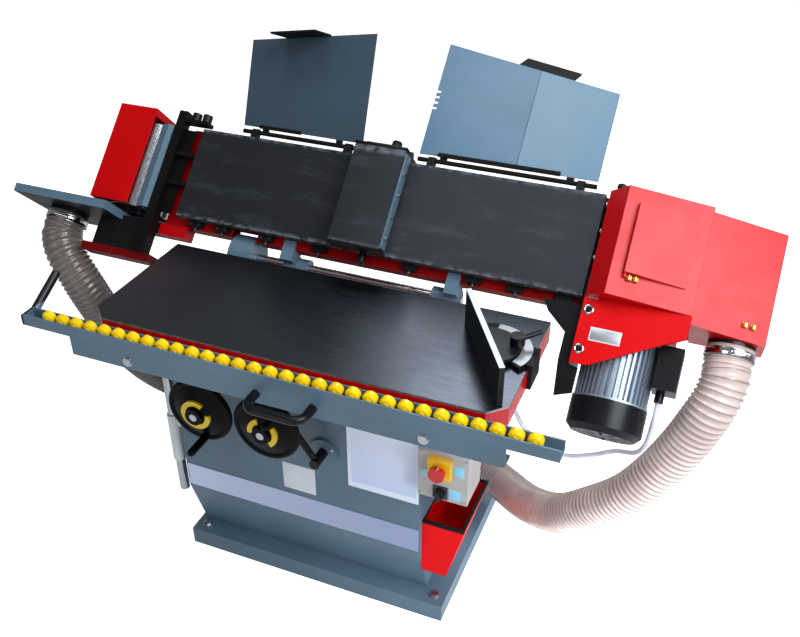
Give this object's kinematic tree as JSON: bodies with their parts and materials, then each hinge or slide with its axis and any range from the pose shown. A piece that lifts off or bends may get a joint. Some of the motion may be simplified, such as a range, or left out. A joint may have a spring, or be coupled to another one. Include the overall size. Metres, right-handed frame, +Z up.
{
  "type": "edge sander",
  "caption": "Floor-standing edge sander with a tilting belt head, lifting table, pull-out roller support and dust hoses",
  "frame": {"origin": "on the floor under the middle of the base plate", "axes": "X to the operator's right along the belt, Y to the back, Z up"},
  "size_m": [1.689, 0.8592, 1.3084],
  "materials": {
    "grey_paint": "satin",
    "red_paint": "satin",
    "black_plastic": "matte",
    "black_paint": "satin",
    "graphite": "matte",
    "table_steel": "satin",
    "bright_steel": "brushed",
    "motor_alu": "satin",
    "bronze": "satin",
    "yellow_plastic": "gloss",
    "box_plastic": "matte",
    "red_plastic": "gloss",
    "white_sleeve": "satin",
    "hose_plastic": "gloss",
    "cable_plastic": "matte"
  },
  "bodies": {
    "stand": {"base_plate": "grey_paint", "pedestal": "grey_paint", "front_plates": "bright_steel", "head_posts": "grey_paint", "tilt_gearbox": "grey_paint", "column_sleeves": "white_sleeve", "dust_manifold": "grey_paint", "switch_box": "box_plastic", "switch_trim": "yellow_plastic", "tool_bin": "red_paint", "lever_flange": "grey_paint", "stand_bolts": "bright_steel"},
    "table": {"table_top": "table_steel", "table_carriage": "grey_paint", "guide_columns": "bright_steel", "lift_nut": "bronze", "gauge_base": "black_paint"},
    "roller_support": {"front_channel": "grey_paint", "roller_rail": "grey_paint", "rail_wheels": "yellow_plastic", "pull_handle": "black_plastic", "slide_bars": "bright_steel"},
    "fence": {"gauge_fence": "black_paint"},
    "fence_lock": {"gauge_lock": "black_plastic"},
    "lift_wheel": {"lift_handwheel": "black_plastic", "lift_shaft": "bright_steel"},
    "lift_spindle": {"lift_screw": "bright_steel"},
    "tilt_wheel": {"tilt_handwheel": "black_plastic", "tilt_shaft": "bright_steel"},
    "tilt_spindle": {"tilt_worm": "bright_steel"},
    "head": {"head_beam": "red_paint", "platen_left": "graphite", "platen_right": "graphite", "platen_clamps": "black_paint", "pivot_shaft": "bright_steel", "drive_frame": "red_paint", "drive_cover": "red_paint", "dust_hood": "red_paint", "motor_body": "motor_alu", "fan_cover": "black_plastic", "terminal_box": "black_plastic", "end_table": "grey_paint", "tension_frame": "black_paint", "guard_hinges": "black_paint", "hose_left": "hose_plastic", "hose_right": "hose_plastic", "motor_cable": "cable_plastic"},
    "left_guard": {"guard_left": "grey_paint"},
    "right_guard": {"guard_right": "grey_paint"},
    "cross_stop": {"stop_bar": "black_paint"},
    "idler": {"idler_fork": "black_paint", "idler_cover": "red_paint"},
    "idler_roller": {"idler_drum": "bright_steel"},
    "drive_roller": {"drive_drum": "bright_steel"},
    "tension": {"tension_knob": "black_plastic"},
    "tracking": {"tracking_knob": "black_plastic"},
    "cover_door": {"drive_door": "red_paint"},
    "table_clamp": {"clamp_lever": "black_plastic"},
    "stop_button": {"e_stop": "red_plastic"},
    "main_switch": {"rotary_knob": "black_plastic"}
  },
  "joints": [
    {"name": "table_lift", "type": "slide", "parent": "stand", "child": "table", "axis": [0, 0, 1], "range_m": [-0.09, 0]},
    {"name": "support_pull", "type": "slide", "parent": "table", "child": "roller_support", "axis": [0, -1, 0], "range_m": [0, 0.18]},
    {"name": "fence_swing", "type": "hinge", "parent": "table", "child": "fence", "pos_m": [0.447, -0.304, 0.874], "axis": [0, 0, 1], "range_deg": [-20, 35]},
    {"name": "fence_lock_turn", "type": "hinge", "parent": "fence", "child": "fence_lock", "pos_m": [0.49501, -0.28682, 0.895], "axis": [0, 0, 1], "range_deg": [0, 60]},
    {"name": "lift_wheel_turn", "type": "hinge", "parent": "stand", "child": "lift_wheel", "pos_m": [-0.024, -0.345, 0.57], "axis": [0, 1, 0], "continuous": true},
    {"name": "lift_spindle_turn", "type": "hinge", "parent": "stand", "child": "lift_spindle", "pos_m": [-0.024, -0.205, 0.6], "axis": [0, 0, 1], "continuous": true},
    {"name": "tilt_wheel_turn", "type": "hinge", "parent": "stand", "child": "tilt_wheel", "pos_m": [-0.19, -0.345, 0.57], "axis": [0, 1, 0], "continuous": true},
    {"name": "tilt_spindle_turn", "type": "hinge", "parent": "stand", "child": "tilt_spindle", "pos_m": [-0.19, -0.14, 0.7], "axis": [0, 0, 1], "continuous": true},
    {"name": "head_tilt", "type": "hinge", "parent": "stand", "child": "head", "pos_m": [0, -0.094, 0.828], "axis": [1, 0, 0], "range_deg": [-45, 45], "deforming": ["hose_left", "hose_right", "motor_cable"]},
    {"name": "left_guard_swing", "type": "hinge", "parent": "head", "child": "left_guard", "pos_m": [-0.115, 0.05803, 1.06205], "axis": [1, 0, 0], "range_deg": [-23, 92]},
    {"name": "right_guard_swing", "type": "hinge", "parent": "head", "child": "right_guard", "pos_m": [0.355, 0.05803, 1.06205], "axis": [1, 0, 0], "range_deg": [0, 115]},
    {"name": "stop_flip", "type": "hinge", "parent": "head", "child": "cross_stop", "pos_m": [0.096, 0.07076, 1.05781], "axis": [1, 0, 0], "range_deg": [-170, 0]},
    {"name": "belt_tension", "type": "slide", "parent": "head", "child": "idler", "axis": [-1, 0, 0], "range_m": [0, 0.012]},
    {"name": "idler_spin", "type": "hinge", "parent": "idler", "child": "idler_roller", "pos_m": [-0.505, 0.01631, 0.93124], "axis": [0, 0.7071, 0.7071], "continuous": true},
    {"name": "drive_spin", "type": "hinge", "parent": "head", "child": "drive_roller", "pos_m": [0.664, 0.01631, 0.93124], "axis": [0, 0.7071, 0.7071], "continuous": true},
    {"name": "tension_turn", "type": "hinge", "parent": "head", "child": "tension", "pos_m": [-0.388, 0.06015, 1.07266], "axis": [0, 0.7071, 0.7071], "range_deg": [-180, 180]},
    {"name": "tracking_turn", "type": "hinge", "parent": "head", "child": "tracking", "pos_m": [-0.36, 0.06015, 1.07266], "axis": [0, 0.7071, 0.7071], "range_deg": [-180, 180]},
    {"name": "door_swing", "type": "hinge", "parent": "head", "child": "cover_door", "pos_m": [0.648, -0.0671, 1.02878], "axis": [0, 0.7071, 0.7071], "range_deg": [-92, 0]},
    {"name": "clamp_turn", "type": "hinge", "parent": "stand", "child": "table_clamp", "pos_m": [0.057, -0.26, 0.45], "axis": [0, 1, 0], "range_deg": [0, 75]},
    {"name": "stop_press", "type": "slide", "parent": "stand", "child": "stop_button", "axis": [0, 1, 0], "range_m": [0, 0.006]},
    {"name": "switch_turn", "type": "hinge", "parent": "stand", "child": "main_switch", "pos_m": [0.346, -0.27, 0.444], "axis": [0, 1, 0], "range_deg": [0, 90]}
  ],
  "couplings": [
    {"joint": "lift_wheel_turn", "follows": "table_lift", "rad_per_m": 314.16},
    {"joint": "lift_spindle_turn", "follows": "table_lift", "rad_per_m": 314.16},
    {"joint": "tilt_wheel_turn", "follows": "head_tilt", "ratio": 24},
    {"joint": "tilt_spindle_turn", "follows": "head_tilt", "ratio": 24}
  ]
}
